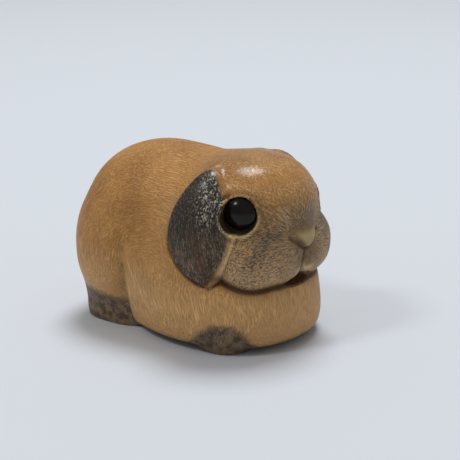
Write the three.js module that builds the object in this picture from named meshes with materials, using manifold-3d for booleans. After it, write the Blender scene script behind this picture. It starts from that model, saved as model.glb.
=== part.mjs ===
// A palm-sized lop-eared rabbit carved from one piece of close-grained wood, with two inlaid eyes.
// The rabbit crouches with its chin on the roll of its chest and its ears laid back over its cheeks.
// It faces -Y, its left side is +X, and it stands on four flat soles at Z = 0.

import * as THREE from 'three';
import Module from 'manifold-3d';

// Driving sizes, millimetres
const LENGTH = 38.5; // nose to tail, the length that the carving's shares are taken of
const EYE_DIAMETER = 4.5; // the inlaid bead, across its edge
const EYE_THICKNESS = 2.4; // from its flat back to the top of its dome
const EYE_DOME = 1.1; // how much of that thickness is dome
const EYE_GAP = 0.3; // clearance around and behind the bead
const EYE_INSET = 0.7; // how far the bead's edge lies below the face around it
const BELLY_LIFT = 0.7; // the belly's height above the soles

// Mesh steps, millimetres: fine over the head and paws, coarse over the plain back
const FINE_STEP = 0.94;
const COARSE_STEP = 1.5;
const ACROSS_STEP = 1.06;
const SHORTEST_EDGE = 0.08; // shorter edges left by the cuts are drawn together
const EYE_SEGMENTS = 28;
const EYE_RINGS = 5;

const MESH_MARGIN = 1.6; // how far the mesh's grid reaches past the masses on every side

// Where the mesh is fine, as shares of the length from the middle of the soles
const FINE_AHEAD_OF = 0.04;
const FINE_ABOVE = 0.21;

// Rounded masses of the body, as shares of the length. at is [across, ahead, up] of the centre,
// half is [half-width, half-length], and up and down are the heights above and below the centre.
// plan, side and crown are the exponents of the outline seen from above, from the side below the
// centre and from the side above it: 2 is an ellipse, and more is squarer. lean moves the upper
// part back. Masses off the middle line are mirrored.
const MASSES = {
  torso: {
    at: [0, -0.171, 0.338], half: [0.322, 0.340], up: 0.351, down: 0.247,
    plan: 2.1, side: 2.4, crown: 2.2,
  },
  haunch: { at: [0.13, -0.265, 0.275], half: [0.192, 0.216], up: 0.234, down: 0.213, plan: 2.1, side: 2.4 },
  rump: { at: [0, -0.197, 0.109], half: [0.223, 0.244], up: 0.104, down: 0.109, plan: 2.4, side: 2.6 },
  tail: { at: [0, -0.459, 0.223], half: [0.078, 0.060], up: 0.094, down: 0.078, plan: 2.0, side: 2.2 },
  chest: {
    at: [0, 0.117, 0.197], half: [0.335, 0.343], up: 0.203, down: 0.26,
    plan: 2.25, side: 3.2, crown: 2, lean: 0.17,
  },
  flank: { at: [0.114, 0.018, 0.286], half: [0.210, 0.235], up: 0.247, down: 0.338, plan: 2.9, side: 2.7 },
  neck: { at: [0, 0, 0.421], half: [0.278, 0.286], up: 0.260, down: 0.234, plan: 2.1, side: 2.2 },
  skull: { at: [0, 0.218, 0.483], half: [0.257, 0.242], up: 0.216, down: 0.208, plan: 2.35, side: 2.6 },
  cheek: { at: [0.126, 0.312, 0.361], half: [0.141, 0.151], up: 0.130, down: 0.145, plan: 2.2, side: 2.4 },
  muzzle: { at: [0.060, 0.384, 0.332], half: [0.088, 0.091], up: 0.094, down: 0.094, plan: 2.1, side: 2.2 },
  ear: { at: [0.114, 0.166, 0.405], half: [0.220, 0.249], up: 0.287, down: 0.299, plan: 2.1, side: 2.3 },
  hindFoot: { at: [0.179, -0.270, 0.062], half: [0.090, 0.150], up: 0.114, down: 0.125, plan: 2.5, side: 2.8 },
  forePaw: { at: [0.173, 0.259, 0.050], half: [0.118, 0.115], up: 0.118, down: 0.082, plan: 2.1, side: 2.2 },
};

// Tapering ridges and grooves: two ends [across, ahead, up] with the radius at each
const NOSE_BRIDGE = { from: [0, 0.369, 0.530], to: [0, 0.411, 0.413], radii: [0.099, 0.074] };
const EAR_ROOT = { from: [0.130, 0.180, 0.638], to: [0.208, 0.208, 0.604], radii: [0.037, 0.046] };
const NOSTRIL = { from: [0, 0.492, 0.374], to: [0.080, 0.472, 0.436], radii: [0.017, 0.013] };
const LIP_SPLIT = { from: [0, 0.492, 0.378], to: [0, 0.475, 0.280], radii: [0.018, 0.018] };
const MOUTH = { at: [0, 0.468, 0.252], half: [0.080, 0.087], up: 0.022, down: 0.022, plan: 2, side: 2 };

// The nose is turned to the rabbit's left by this much, growing between these two places ahead
const NOSE_TURN = { across: 0.022, from: 0.37, to: 0.47 };

// The crease in front of the haunch leans ahead as it rises and fades out on the side of the back
const CREASE = { depth: 0.018, width: 0.030, foot: -0.170, lean: 0.045, fadeFrom: 0.28, fadeTo: 0.52 };
const CREASE_INNER = [0.104, 0.208]; // distances from the middle line between which it deepens

// The ear's leaf outline: its top and tip as [ahead, up], and its widths before and behind that line.
// fullness is how blunt an edge is at the top and at the tip, and less is blunter.
const EAR_TOP = [0.200, 0.672];
const EAR_TIP = [0.268, 0.260];
const EAR_FRONT = { width: 0.109, skew: 1.0, fullness: [0.48, 1.0] };
const EAR_BACK = { width: 0.138, skew: 1.25, fullness: [0.60, 0.76] };
const EAR_BEVEL = 0.8; // slope of the ear's edge
const EAR_INNER = 0.104; // the ear's shell starts this far from the middle line

// The eye's place on the side of the head, as [ahead, up]
const EYE_AT = [0.353, 0.536];

// Widths over which neighbouring masses run into each other
const BLEND = {
  haunch: 0.052, flank: 0.052, sides: 0.034, rump: 0.039, tail: 0.021, cheek: 0.042, muzzle: 0.022,
  face: 0.036, chin: 0.014, neck: 0.039, earEdge: 0.024, earSide: 0.013, ear: 0.024, earRoot: 0.036,
  hindFoot: 0.055, forePaw: 0.018, cut: 0.012,
};

const WOOD = { color: 0xa8784a, roughness: 0.45, metalness: 0 };
const BEAD = { color: 0x14110f, roughness: 0.1, metalness: 0 };

const clamp = (value, low, high) => Math.min(high, Math.max(low, value));

function ramp(from, to, value) {
  const t = clamp((value - from) / (to - from), 0, 1);
  return t * t * (3 - 2 * t);
}

// Joins two distance fields with a rounded valley of the given width
function join(a, b, width) {
  const overlap = Math.max(width - Math.abs(a - b), 0) / width;
  return Math.min(a, b) - (overlap * overlap * width) / 4;
}

// Keeps what is inside both fields, with a rounded edge
function keepBoth(a, b, width) {
  return -join(-a, -b, width);
}

const SMALL = 1e-9; // keeps the divisions below away from zero

// Distance to a squared-off ellipsoid, from its level set and the slope of that level set
function massDistance(form, [across, ahead, up]) {
  const rise = up - form.at[2];
  const height = rise > 0 ? form.up : form.down;
  const crown = form.crown ?? form.side;
  const side = form.side + (crown - form.side) * ramp(-0.4, 0.4, rise / height);
  const u = Math.abs(across - form.at[0]) / form.half[0];
  const v = Math.abs(ahead - form.at[1] + (form.lean ?? 0) * rise) / form.half[1];
  const w = Math.abs(rise) / height;
  const ring = Math.pow(u ** form.plan + v ** form.plan, 1 / form.plan) + SMALL;
  const level = Math.pow(ring ** side + w ** side, 1 / side) + SMALL;
  const ringSlope = (ring / level) ** (side - 1);
  const slope = Math.hypot(
    (ringSlope * (u / ring) ** (form.plan - 1)) / form.half[0],
    (ringSlope * (v / ring) ** (form.plan - 1)) / form.half[1],
    (w / level) ** (side - 1) / height,
  );
  return (level - 1) / (slope + SMALL);
}

// Distance to a bar whose radius changes evenly from one end to the other
function barDistance(bar, point) {
  const axis = bar.to.map((value, i) => value - bar.from[i]);
  const offset = point.map((value, i) => value - bar.from[i]);
  const squared = axis.reduce((sum, value) => sum + value * value, 0);
  const t = clamp(axis.reduce((sum, value, i) => sum + value * offset[i], 0) / squared, 0, 1);
  const gap = Math.hypot(...offset.map((value, i) => value - t * axis[i]));
  return gap - (bar.radii[0] + (bar.radii[1] - bar.radii[0]) * t);
}

function leafWidth(edge, t) {
  const down = clamp(t, 0, 1);
  const fullness = edge.fullness[0] + (edge.fullness[1] - edge.fullness[0]) * down;
  return edge.width * Math.sin(Math.PI * down ** edge.skew) ** fullness;
}

// Signed distance, in side view, to the leaf-shaped outline of the ear
function earOutline(ahead, up) {
  const axis = [EAR_TIP[0] - EAR_TOP[0], EAR_TIP[1] - EAR_TOP[1]];
  const reach = Math.hypot(...axis);
  const unit = axis.map((value) => value / reach);
  const offset = [ahead - EAR_TOP[0], up - EAR_TOP[1]];
  const t = (offset[0] * unit[0] + offset[1] * unit[1]) / reach;
  const forward = offset[1] * unit[0] - offset[0] * unit[1];
  const sides = Math.max(forward - leafWidth(EAR_FRONT, t), -forward - leafWidth(EAR_BACK, t));
  return Math.max(sides, Math.max(-t, t - 1) * reach);
}

// Height of the haunch crease, zero away from it
function creaseDepth([across, ahead, up]) {
  const line = CREASE.foot + CREASE.lean * (up / CREASE.fadeTo);
  const fade = 1 - ramp(CREASE.fadeFrom, CREASE.fadeTo, up);
  const inward = ramp(CREASE_INNER[0], CREASE_INNER[1], across);
  return CREASE.depth * fade * inward * Math.exp(-(((ahead - line) / CREASE.width) ** 2));
}

function trunk(point) {
  let d = join(massDistance(MASSES.torso, point), massDistance(MASSES.haunch, point), BLEND.haunch);
  const front = join(massDistance(MASSES.chest, point), massDistance(MASSES.flank, point), BLEND.flank);
  d = join(d, front, BLEND.sides) + creaseDepth(point);
  d = join(d, massDistance(MASSES.rump, point), BLEND.rump);
  d = join(d, massDistance(MASSES.tail, point), BLEND.tail);
  return keepBoth(d, BELLY_LIFT / LENGTH - point[2], BLEND.sides);
}

function head(point) {
  const skull = join(massDistance(MASSES.skull, point), massDistance(MASSES.cheek, point), BLEND.cheek);
  const snout = join(barDistance(NOSE_BRIDGE, point), massDistance(MASSES.muzzle, point), BLEND.muzzle);
  return join(skull, snout, BLEND.face);
}

function ear(point) {
  const edge = earOutline(point[1], point[2]) * EAR_BEVEL;
  const leaf = keepBoth(massDistance(MASSES.ear, point), edge, BLEND.earEdge);
  return keepBoth(leaf, EAR_INNER - point[0], BLEND.earSide);
}

// The whole carving as one signed distance in millimetres, from millimetres in the frame
function carving(x, y, z) {
  const [across, ahead, up] = [x / LENGTH, -y / LENGTH, z / LENGTH];
  const point = [Math.abs(across), ahead, up];
  const turn = NOSE_TURN.across * ramp(NOSE_TURN.from, NOSE_TURN.to, ahead);
  const face = [Math.abs(across - turn), ahead, up];
  let d = join(trunk(point), head(face), BLEND.chin);
  d = join(d, massDistance(MASSES.neck, point), BLEND.neck);
  d = join(d, ear(point), BLEND.ear);
  d = join(d, barDistance(EAR_ROOT, point), BLEND.earRoot);
  d = join(d, massDistance(MASSES.hindFoot, point), BLEND.hindFoot);
  d = join(d, massDistance(MASSES.forePaw, point), BLEND.forePaw);
  d = keepBoth(d, -massDistance(MOUTH, face), BLEND.cut);
  d = keepBoth(d, -barDistance(NOSTRIL, face), BLEND.cut);
  return keepBoth(d, -barDistance(LIP_SPLIT, face), BLEND.cut) * LENGTH;
}

function slopeAt(point) {
  const h = 0.02;
  const slope = new THREE.Vector3();
  for (const axis of ['x', 'y', 'z']) {
    const ahead = point.clone();
    const behind = point.clone();
    ahead[axis] += h;
    behind[axis] -= h;
    slope[axis] = (carving(ahead.x, ahead.y, ahead.z) - carving(behind.x, behind.y, behind.z)) / (2 * h);
  }
  return slope;
}

// Moves a point onto the carving's surface, no further than the limit
function settle(start, limit) {
  const point = start.clone();
  for (let step = 0; step < 6; step += 1) {
    const distance = carving(point.x, point.y, point.z);
    if (Math.abs(distance) < 1e-3) break;
    const slope = slopeAt(point);
    point.addScaledVector(slope, -distance / Math.max(slope.lengthSq(), 0.2));
  }
  const drift = point.clone().sub(start);
  return drift.length() > limit ? start.clone().addScaledVector(drift, limit / drift.length()) : point;
}

// Grid lines from low to high with a step that depends on the place
function gridLines(low, high, stepAt) {
  const lines = [low];
  while (lines.at(-1) < high) lines.push(lines.at(-1) + stepAt(lines.at(-1)));
  return lines;
}

// How far the masses and the margin round them reach from the middle of the soles
function meshReach() {
  const forms = Object.values(MASSES);
  const sway = (form) => Math.abs(form.lean ?? 0) * Math.max(form.up, form.down);
  const reach = {
    across: Math.max(...forms.map((form) => form.at[0] + form.half[0])),
    ahead: Math.max(...forms.map((form) => form.at[1] + form.half[1] + sway(form))),
    behind: Math.max(...forms.map((form) => form.half[1] - form.at[1] + sway(form))),
    above: Math.max(...forms.map((form) => form.at[2] + form.up)),
    below: Math.max(...forms.map((form) => form.down - form.at[2])),
  };
  for (const way of Object.keys(reach)) reach[way] = reach[way] * LENGTH + MESH_MARGIN;
  return reach;
}

// Surface-net mesh of the carving: one vertex in each grid cell that the surface crosses
function carvedSurface() {
  const reach = meshReach();
  const half = Math.ceil(reach.across / ACROSS_STEP) * ACROSS_STEP;
  const lengthStep = (y) => (y < -FINE_AHEAD_OF * LENGTH ? FINE_STEP : COARSE_STEP);
  const heightStep = (z) => (z > FINE_ABOVE * LENGTH ? FINE_STEP : ACROSS_STEP);
  const xs = gridLines(-half, half, () => ACROSS_STEP);
  const ys = gridLines(-reach.ahead, reach.behind, lengthStep);
  const zs = gridLines(-reach.below, reach.above, heightStep);
  const [nx, ny, nz] = [xs.length, ys.length, zs.length];
  const at = (i, j, k) => (k * ny + j) * nx + i;
  const values = new Float64Array(nx * ny * nz);
  for (let k = 0; k < nz; k += 1) {
    for (let j = 0; j < ny; j += 1) {
      for (let i = 0; i < nx; i += 1) values[at(i, j, k)] = carving(xs[i], ys[j], zs[k]);
    }
  }

  const corners = [];
  for (let c = 0; c < 8; c += 1) corners.push([c & 1, (c >> 1) & 1, (c >> 2) & 1]);
  const cellVertex = new Int32Array(nx * ny * nz).fill(-1);
  const positions = [];
  const cellCrossing = (i, j, k) => {
    const inside = corners.filter((c) => values[at(i + c[0], j + c[1], k + c[2])] < 0).length;
    if (inside === 0 || inside === 8) return null;
    const sum = new THREE.Vector3();
    let count = 0;
    corners.forEach((a, first) => {
      corners.forEach((b, second) => {
        const apart = Math.abs(a[0] - b[0]) + Math.abs(a[1] - b[1]) + Math.abs(a[2] - b[2]);
        if (second <= first || apart !== 1) return;
        const va = values[at(i + a[0], j + a[1], k + a[2])];
        const vb = values[at(i + b[0], j + b[1], k + b[2])];
        if (va < 0 === vb < 0) return;
        const t = va / (va - vb);
        sum.x += xs[i + a[0]] + (xs[i + b[0]] - xs[i + a[0]]) * t;
        sum.y += ys[j + a[1]] + (ys[j + b[1]] - ys[j + a[1]]) * t;
        sum.z += zs[k + a[2]] + (zs[k + b[2]] - zs[k + a[2]]) * t;
        count += 1;
      });
    });
    return sum.divideScalar(count);
  };
  for (let k = 0; k < nz - 1; k += 1) {
    for (let j = 0; j < ny - 1; j += 1) {
      for (let i = 0; i < nx - 1; i += 1) {
        const crossing = cellCrossing(i, j, k);
        if (crossing === null) continue;
        cellVertex[at(i, j, k)] = positions.length / 3;
        positions.push(...settle(crossing, FINE_STEP / 3).toArray());
      }
    }
  }

  // Each grid edge that the surface crosses joins the four cells around it
  const triangles = [];
  const addQuad = (a, b, c, d, outward) => {
    if (outward) triangles.push(a, b, c, a, c, d);
    else triangles.push(a, c, b, a, d, c);
  };
  for (let k = 1; k < nz - 1; k += 1) {
    for (let j = 1; j < ny - 1; j += 1) {
      for (let i = 1; i < nx - 1; i += 1) {
        const here = values[at(i, j, k)] < 0;
        const cell = (di, dj, dk) => cellVertex[at(i - di, j - dj, k - dk)];
        if (here !== values[at(i + 1, j, k)] < 0) {
          addQuad(cell(0, 1, 1), cell(0, 0, 1), cell(0, 0, 0), cell(0, 1, 0), here);
        }
        if (here !== values[at(i, j + 1, k)] < 0) {
          addQuad(cell(1, 0, 1), cell(1, 0, 0), cell(0, 0, 0), cell(0, 0, 1), here);
        }
        if (here !== values[at(i, j, k + 1)] < 0) {
          addQuad(cell(1, 1, 0), cell(0, 1, 0), cell(0, 0, 0), cell(1, 0, 0), here);
        }
      }
    }
  }
  return { positions, triangles };
}

const wasm = await Module();
wasm.setup();

function solidFrom(positions, triangles) {
  const vertProperties = Float32Array.from(positions);
  const triVerts = Uint32Array.from(triangles);
  return new wasm.Manifold(new wasm.Mesh({ numProp: 3, vertProperties, triVerts }));
}

const WELD_STEP = 1e-5; // seam vertices this close together, in millimetres, are one vertex

// A closed solid from a geometry whose seam vertices are welded by their rounded position
function solidFromGeometry(geometry) {
  const position = geometry.getAttribute('position');
  const index = geometry.getIndex();
  const places = new Map();
  const welded = [];
  const renamed = [];
  for (let i = 0; i < position.count; i += 1) {
    const place = new THREE.Vector3().fromBufferAttribute(position, i).toArray();
    const xyz = place.map((value) => Math.round(value / WELD_STEP) * WELD_STEP + 0);
    const key = xyz.join(' ');
    if (!places.has(key)) {
      places.set(key, welded.length / 3);
      welded.push(...xyz);
    }
    renamed.push(places.get(key));
  }
  const triangles = [];
  for (let i = 0; i < index.count; i += 3) {
    const corner = [0, 1, 2].map((n) => renamed[index.getX(i + n)]);
    if (new Set(corner).size === 3) triangles.push(...corner);
  }
  return solidFrom(welded, triangles);
}

// Draws the ends of very short edges together, wherever that leaves the surface closed
function drawTogether(points, triangles) {
  const faces = [];
  for (let i = 0; i < triangles.length; i += 3) faces.push(triangles.slice(i, i + 3));
  const around = points.map(() => new Set());
  faces.forEach((face, f) => face.forEach((v) => around[v].add(f)));
  const neighbours = (v) => new Set([...around[v]].flatMap((f) => faces[f]).filter((other) => other !== v));
  const collapse = (keep, drop) => {
    const shared = [...neighbours(keep)].filter((v) => neighbours(drop).has(v));
    if (shared.length !== 2) return;
    for (const f of [...around[drop]]) {
      if (faces[f].includes(keep)) {
        faces[f].forEach((v) => around[v].delete(f));
        faces[f] = null;
      } else {
        faces[f][faces[f].indexOf(drop)] = keep;
        around[keep].add(f);
      }
    }
    around[drop].clear();
  };
  for (let f = 0; f < faces.length; f += 1) {
    for (let n = 0; n < 3 && faces[f] !== null; n += 1) {
      const [a, b] = [faces[f][n], faces[f][(n + 1) % 3]];
      if (points[a].distanceTo(points[b]) < SHORTEST_EDGE) collapse(a, b);
    }
  }
  return faces.filter((face) => face !== null).flat();
}

function geometryFrom(solid) {
  const mesh = solid.getMesh();
  const points = [];
  for (let i = 0; i < mesh.numVert; i += 1) {
    points.push(new THREE.Vector3().fromArray(mesh.vertProperties, i * mesh.numProp));
  }
  const triangles = drawTogether(points, [...mesh.triVerts]);
  const used = [...new Set(triangles)];
  const renamed = new Map(used.map((v, i) => [v, i]));
  const places = used.flatMap((v) => points[v].toArray());
  const geometry = new THREE.BufferGeometry();
  geometry.setAttribute('position', new THREE.Float32BufferAttribute(places, 3));
  geometry.setIndex(triangles.map((v) => renamed.get(v)));
  geometry.computeVertexNormals();
  return geometry;
}

// Where the eye's middle line meets the side of the head, and the direction it faces
function eyeSeat(side) {
  const [y, z] = [-EYE_AT[0] * LENGTH, EYE_AT[1] * LENGTH];
  let inside = 0;
  let outside = LENGTH / 2;
  for (let step = 0; step < 40; step += 1) {
    const middle = (inside + outside) / 2;
    if (carving(side * middle, y, z) < 0) inside = middle;
    else outside = middle;
  }
  const place = new THREE.Vector3(side * inside, y, z);
  return { place, facing: slopeAt(place).normalize() };
}

// Turns a piece made along +Y so that it faces out of the head at the eye's seat
function seatedAtEye(geometry, side) {
  const { place, facing } = eyeSeat(side);
  const turn = new THREE.Quaternion().setFromUnitVectors(new THREE.Vector3(0, 1, 0), facing);
  return geometry.applyQuaternion(turn).translate(place.x, place.y, place.z);
}

// Round pocket for the bead, from below its back to well outside the face
function socketCutter(side) {
  const radius = EYE_DIAMETER / 2 + EYE_GAP;
  const floor = -EYE_INSET - (EYE_THICKNESS - EYE_DOME) - EYE_GAP;
  const profile = [
    new THREE.Vector2(0, floor),
    new THREE.Vector2(radius, floor),
    new THREE.Vector2(radius, EYE_DIAMETER),
    new THREE.Vector2(0, EYE_DIAMETER),
  ];
  return seatedAtEye(new THREE.LatheGeometry(profile, EYE_SEGMENTS), side);
}

// The bead: a flat back, a short straight edge and a dome whose top is on the seat's middle line
function eyeBead(side) {
  const radius = EYE_DIAMETER / 2;
  const back = -EYE_INSET - (EYE_THICKNESS - EYE_DOME);
  const ball = (radius * radius + EYE_DOME * EYE_DOME) / (2 * EYE_DOME);
  const profile = [new THREE.Vector2(0, back), new THREE.Vector2(radius, back)];
  for (let ring = 0; ring < EYE_RINGS; ring += 1) {
    const r = radius * Math.cos((ring / EYE_RINGS) * (Math.PI / 2));
    const rise = Math.sqrt(ball * ball - r * r) - (ball - EYE_DOME);
    profile.push(new THREE.Vector2(r, rise - EYE_INSET));
  }
  profile.push(new THREE.Vector2(0, EYE_DOME - EYE_INSET));
  return seatedAtEye(new THREE.LatheGeometry(profile, EYE_SEGMENTS), side);
}

// Everything below the soles, cut away so that they are flat
function groundCutter() {
  const size = 2 * LENGTH;
  return new THREE.BoxGeometry(size, size, size).translate(0, 0, -size / 2);
}

function carvedBody() {
  const { positions, triangles } = carvedSurface();
  let body = solidFrom(positions, triangles);
  body = body.subtract(solidFromGeometry(groundCutter()));
  for (const side of [-1, 1]) body = body.subtract(solidFromGeometry(socketCutter(side)));
  return geometryFrom(body);
}

function namedMesh(name, geometry, look) {
  const mesh = new THREE.Mesh(geometry, new THREE.MeshStandardMaterial(look));
  mesh.name = name;
  return mesh;
}

const rabbit = new THREE.Group();
rabbit.add(namedMesh('carved_body', carvedBody(), WOOD));
rabbit.add(namedMesh('eye_right', geometryFrom(solidFromGeometry(eyeBead(-1))), BEAD));
rabbit.add(namedMesh('eye_left', geometryFrom(solidFromGeometry(eyeBead(1))), BEAD));

// The origin is the middle of the footprint of the whole carving
const box = new THREE.Box3().setFromObject(rabbit);
const middle = box.getCenter(new THREE.Vector3());
rabbit.position.set(-middle.x, -middle.y, -box.min.z);

export default rabbit;
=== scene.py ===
# A palm-sized lop-eared rabbit, carved from one piece of close-grained wood, with two inlaid eyes.
# Metres, +Z up, nose towards -Y. Places on the carving are shares of its length: across, ahead, up.

import math

import bmesh
import bpy
import numpy as np
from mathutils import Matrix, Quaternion, Vector


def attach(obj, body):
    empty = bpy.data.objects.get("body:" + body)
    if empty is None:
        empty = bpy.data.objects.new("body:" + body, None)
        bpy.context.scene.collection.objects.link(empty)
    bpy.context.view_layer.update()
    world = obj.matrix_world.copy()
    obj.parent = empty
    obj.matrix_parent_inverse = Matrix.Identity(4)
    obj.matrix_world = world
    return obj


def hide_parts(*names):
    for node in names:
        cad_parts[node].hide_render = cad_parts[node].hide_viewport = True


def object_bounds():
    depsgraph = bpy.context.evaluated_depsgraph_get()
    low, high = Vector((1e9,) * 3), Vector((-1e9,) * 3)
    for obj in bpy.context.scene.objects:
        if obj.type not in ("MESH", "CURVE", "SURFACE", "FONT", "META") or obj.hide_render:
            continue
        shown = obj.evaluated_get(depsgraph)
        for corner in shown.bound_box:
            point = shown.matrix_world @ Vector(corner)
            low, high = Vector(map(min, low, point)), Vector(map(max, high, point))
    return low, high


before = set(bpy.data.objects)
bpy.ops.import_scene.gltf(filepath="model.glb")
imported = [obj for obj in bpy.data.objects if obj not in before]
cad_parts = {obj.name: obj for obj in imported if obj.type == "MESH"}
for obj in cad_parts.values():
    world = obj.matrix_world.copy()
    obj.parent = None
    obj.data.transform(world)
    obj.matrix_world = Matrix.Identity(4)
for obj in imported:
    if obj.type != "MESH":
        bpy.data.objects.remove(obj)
cad_low, cad_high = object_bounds()

# The carved body
# One block of dense honey-coloured wood, cut with knives: head, drooping ears, chest, haunches, paws
# and tail. Its forms are rounded masses that run into each other, and the hair is cut in last.

LENGTH = cad_high.y - cad_low.y
MILLIMETRE = 0.001 / LENGTH  # one millimetre as a share of the length

# at is the centre, half is half-width and half-length, up and down the heights above and below it.
# plan, side and crown are exponents of the outline from above, from the side below the centre and
# from the side above it: 2 is an ellipse, more is squarer. lean moves the upper part back.
TORSO = dict(at=(0, -0.171, 0.338), half=(0.322, 0.340), up=0.351, down=0.247, plan=2.1, side=2.4,
             crown=2.2)
HAUNCH = dict(at=(0.13, -0.265, 0.275), half=(0.192, 0.216), up=0.234, down=0.213, plan=2.1, side=2.4)
RUMP = dict(at=(0, -0.197, 0.109), half=(0.223, 0.244), up=0.104, down=0.109, plan=2.4, side=2.6)
TAIL = dict(at=(0, -0.459, 0.223), half=(0.078, 0.060), up=0.094, down=0.078, plan=2.0, side=2.2)
CHEST = dict(at=(0, 0.117, 0.197), half=(0.335, 0.343), up=0.203, down=0.26, plan=2.25, side=3.2, crown=2,
             lean=0.17)
FLANK = dict(at=(0.114, 0.018, 0.286), half=(0.210, 0.235), up=0.247, down=0.338, plan=2.9, side=2.7)
NECK = dict(at=(0, 0, 0.421), half=(0.278, 0.286), up=0.260, down=0.234, plan=2.1, side=2.2)
SKULL = dict(at=(0, 0.218, 0.483), half=(0.257, 0.242), up=0.216, down=0.208, plan=2.35, side=2.6)
CHEEK = dict(at=(0.126, 0.312, 0.361), half=(0.141, 0.151), up=0.130, down=0.145, plan=2.2, side=2.4)
MUZZLE = dict(at=(0.060, 0.384, 0.332), half=(0.088, 0.091), up=0.094, down=0.094, plan=2.1, side=2.2)
EAR = dict(at=(0.114, 0.166, 0.405), half=(0.220, 0.249), up=0.287, down=0.299, plan=2.1, side=2.3)
HIND_FOOT = dict(at=(0.179, -0.270, 0.062), half=(0.090, 0.150), up=0.114, down=0.125, plan=2.5, side=2.8)
FORE_PAW = dict(at=(0.173, 0.259, 0.050), half=(0.118, 0.115), up=0.118, down=0.082, plan=2.1, side=2.2)
MOUTH = dict(at=(0, 0.468, 0.255), half=(0.078, 0.085), up=0.020, down=0.020, plan=2, side=2)

# Bars that taper from one end to the other: two ends and the radius at each
NOSE_BRIDGE = dict(ends=((0, 0.369, 0.530), (0, 0.411, 0.413)), radii=(0.099, 0.074))
EAR_ROOT = dict(ends=((0.130, 0.180, 0.638), (0.208, 0.208, 0.604)), radii=(0.037, 0.046))

# Knife lines of the nose, seen from the front: two ends as across and up, with their depth and width
NOSTRIL = dict(ends=((0, 0.372), (0.078, 0.428)), depth=0.013, width=0.0075)
LIP_SPLIT = dict(ends=((0, 0.372), (0, 0.280)), depth=0.011, width=0.008)
KNIFE_FRONT = (0.38, 0.42)  # how far ahead these lines start, and where they reach full depth
NOSE_PAD = dict(slope=0.85, foot=0.374, top=0.455, rise=0.009, soft=0.008, front=(0.40, 0.43))

# The nose is turned a little to the rabbit's left, from behind the muzzle forwards
NOSE_TURN = 0.022
NOSE_TURN_FADE = (0.37, 0.47)

BELLY_LIFT = 0.7 * MILLIMETRE
CREASE = dict(depth=0.018, width=0.026, foot=-0.170, lean=-0.045, fade=(0.28, 0.52), inner=(0.104, 0.208))

# The ear's leaf: its top and tip as ahead and up, and its edges before and behind the line between
# them. fullness is how blunt the edge is at the top and at the tip: less is blunter.
EAR_TOP = np.array((0.200, 0.672))
EAR_TIP = np.array((0.268, 0.260))
EAR_FRONT = dict(width=0.109, skew=1.0, fullness=(0.48, 1.0))
EAR_BACK = dict(width=0.138, skew=1.25, fullness=(0.60, 0.76))
EAR_BEVEL = 0.8  # slope of the leaf's cut edge
EAR_INNER = 0.104  # how far from the middle line the leaf starts

# Knife cuts that set off one form from the next: how deep and wide each is, and where it runs out
CHIN_CUT = dict(depth=0.007, width=0.008, dark_width=0.020, ahead=(0.20, 0.26))
EAR_CUT = dict(depth=0.006, width=0.014, across=(0.15, 0.20), down=(0.12, 0.32))

# Widths over which neighbouring masses run into each other
BLEND = dict(haunch=0.052, flank=0.052, sides=0.034, rump=0.039, tail=0.021, cheek=0.042, muzzle=0.028,
             face=0.036, chin=0.009, neck=0.039, ear_edge=0.012, ear_side=0.013, ear=0.008,
             ear_root=0.036, hind_foot=0.055, fore_paw=0.016, cut=0.006)

# The eyes' seats on the side of the head, which their sockets and lids are cut around
EYE_AT = (0.353, 0.536)
EYE_RADIUS = 2.25 * MILLIMETRE
SOCKET_RADIUS = EYE_RADIUS + 0.06 * MILLIMETRE
SOCKET_DEPTH = 2.2 * MILLIMETRE
LID_OPENING = EYE_RADIUS + 0.17 * MILLIMETRE
LID_SAG = 0.50 * MILLIMETRE  # how far the middle of the lids lies below the bead's
LID_DEPTH = 0.75 * MILLIMETRE
LID_FADE = 2.5 * MILLIMETRE  # how far in or out from the eye's seat the lids fade away
LID = dict(radius=LID_OPENING + 0.26 * MILLIMETRE, rise=0.20 * MILLIMETRE, width=0.24 * MILLIMETRE)
LID_FOLD = dict(radius=LID_OPENING + 0.85 * MILLIMETRE, rise=-0.14 * MILLIMETRE, width=0.36 * MILLIMETRE)

MESH_STEP = 0.245 * MILLIMETRE
BLOCK = 4  # the surface is first looked for in blocks of this many steps
GRID_REACH = ((-0.36, -0.545, -0.035), (0.36, 0.52, 0.735))  # corners of the box it is looked for in
EVENING_PASSES = 3
EVENING_PULL = 0.4  # share of the way to its neighbours' middle that a vertex moves in a pass
FURTHEST_DRIFT = 1.2 * MESH_STEP


def ramp(low, high, value):
    t = np.clip((value - low) / (high - low), 0, 1)
    return t * t * (3 - 2 * t)


def join(a, b, width):
    """Runs two distance fields into each other with a rounded valley."""
    overlap = np.maximum(width - np.abs(a - b), 0) / width
    return np.minimum(a, b) - overlap * overlap * width / 4


def keep_both(a, b, width):
    return -join(-a, -b, width)


def mass_distance(form, p):
    """Distance to a squared-off ellipsoid, from its level set and the slope of that level set."""
    tiny = 1e-9
    at, half = form["at"], form["half"]
    rise = p[:, 2] - at[2]
    height = np.where(rise > 0, form["up"], form["down"])
    side = form["side"] + (form.get("crown", form["side"]) - form["side"]) * ramp(-0.4, 0.4, rise / height)
    u = np.abs(p[:, 0] - at[0]) / half[0]
    v = np.abs(p[:, 1] - at[1] + form.get("lean", 0) * rise) / half[1]
    w = np.abs(rise) / height
    plan = form["plan"]
    ring = (u ** plan + v ** plan) ** (1 / plan) + tiny
    level = (ring ** side + w ** side) ** (1 / side) + tiny
    ring_slope = (ring / level) ** (side - 1)
    slope = np.sqrt((ring_slope * (u / ring) ** (plan - 1) / half[0]) ** 2
                    + (ring_slope * (v / ring) ** (plan - 1) / half[1]) ** 2
                    + ((w / level) ** (side - 1) / height) ** 2)
    return (level - 1) / (slope + tiny)


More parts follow.
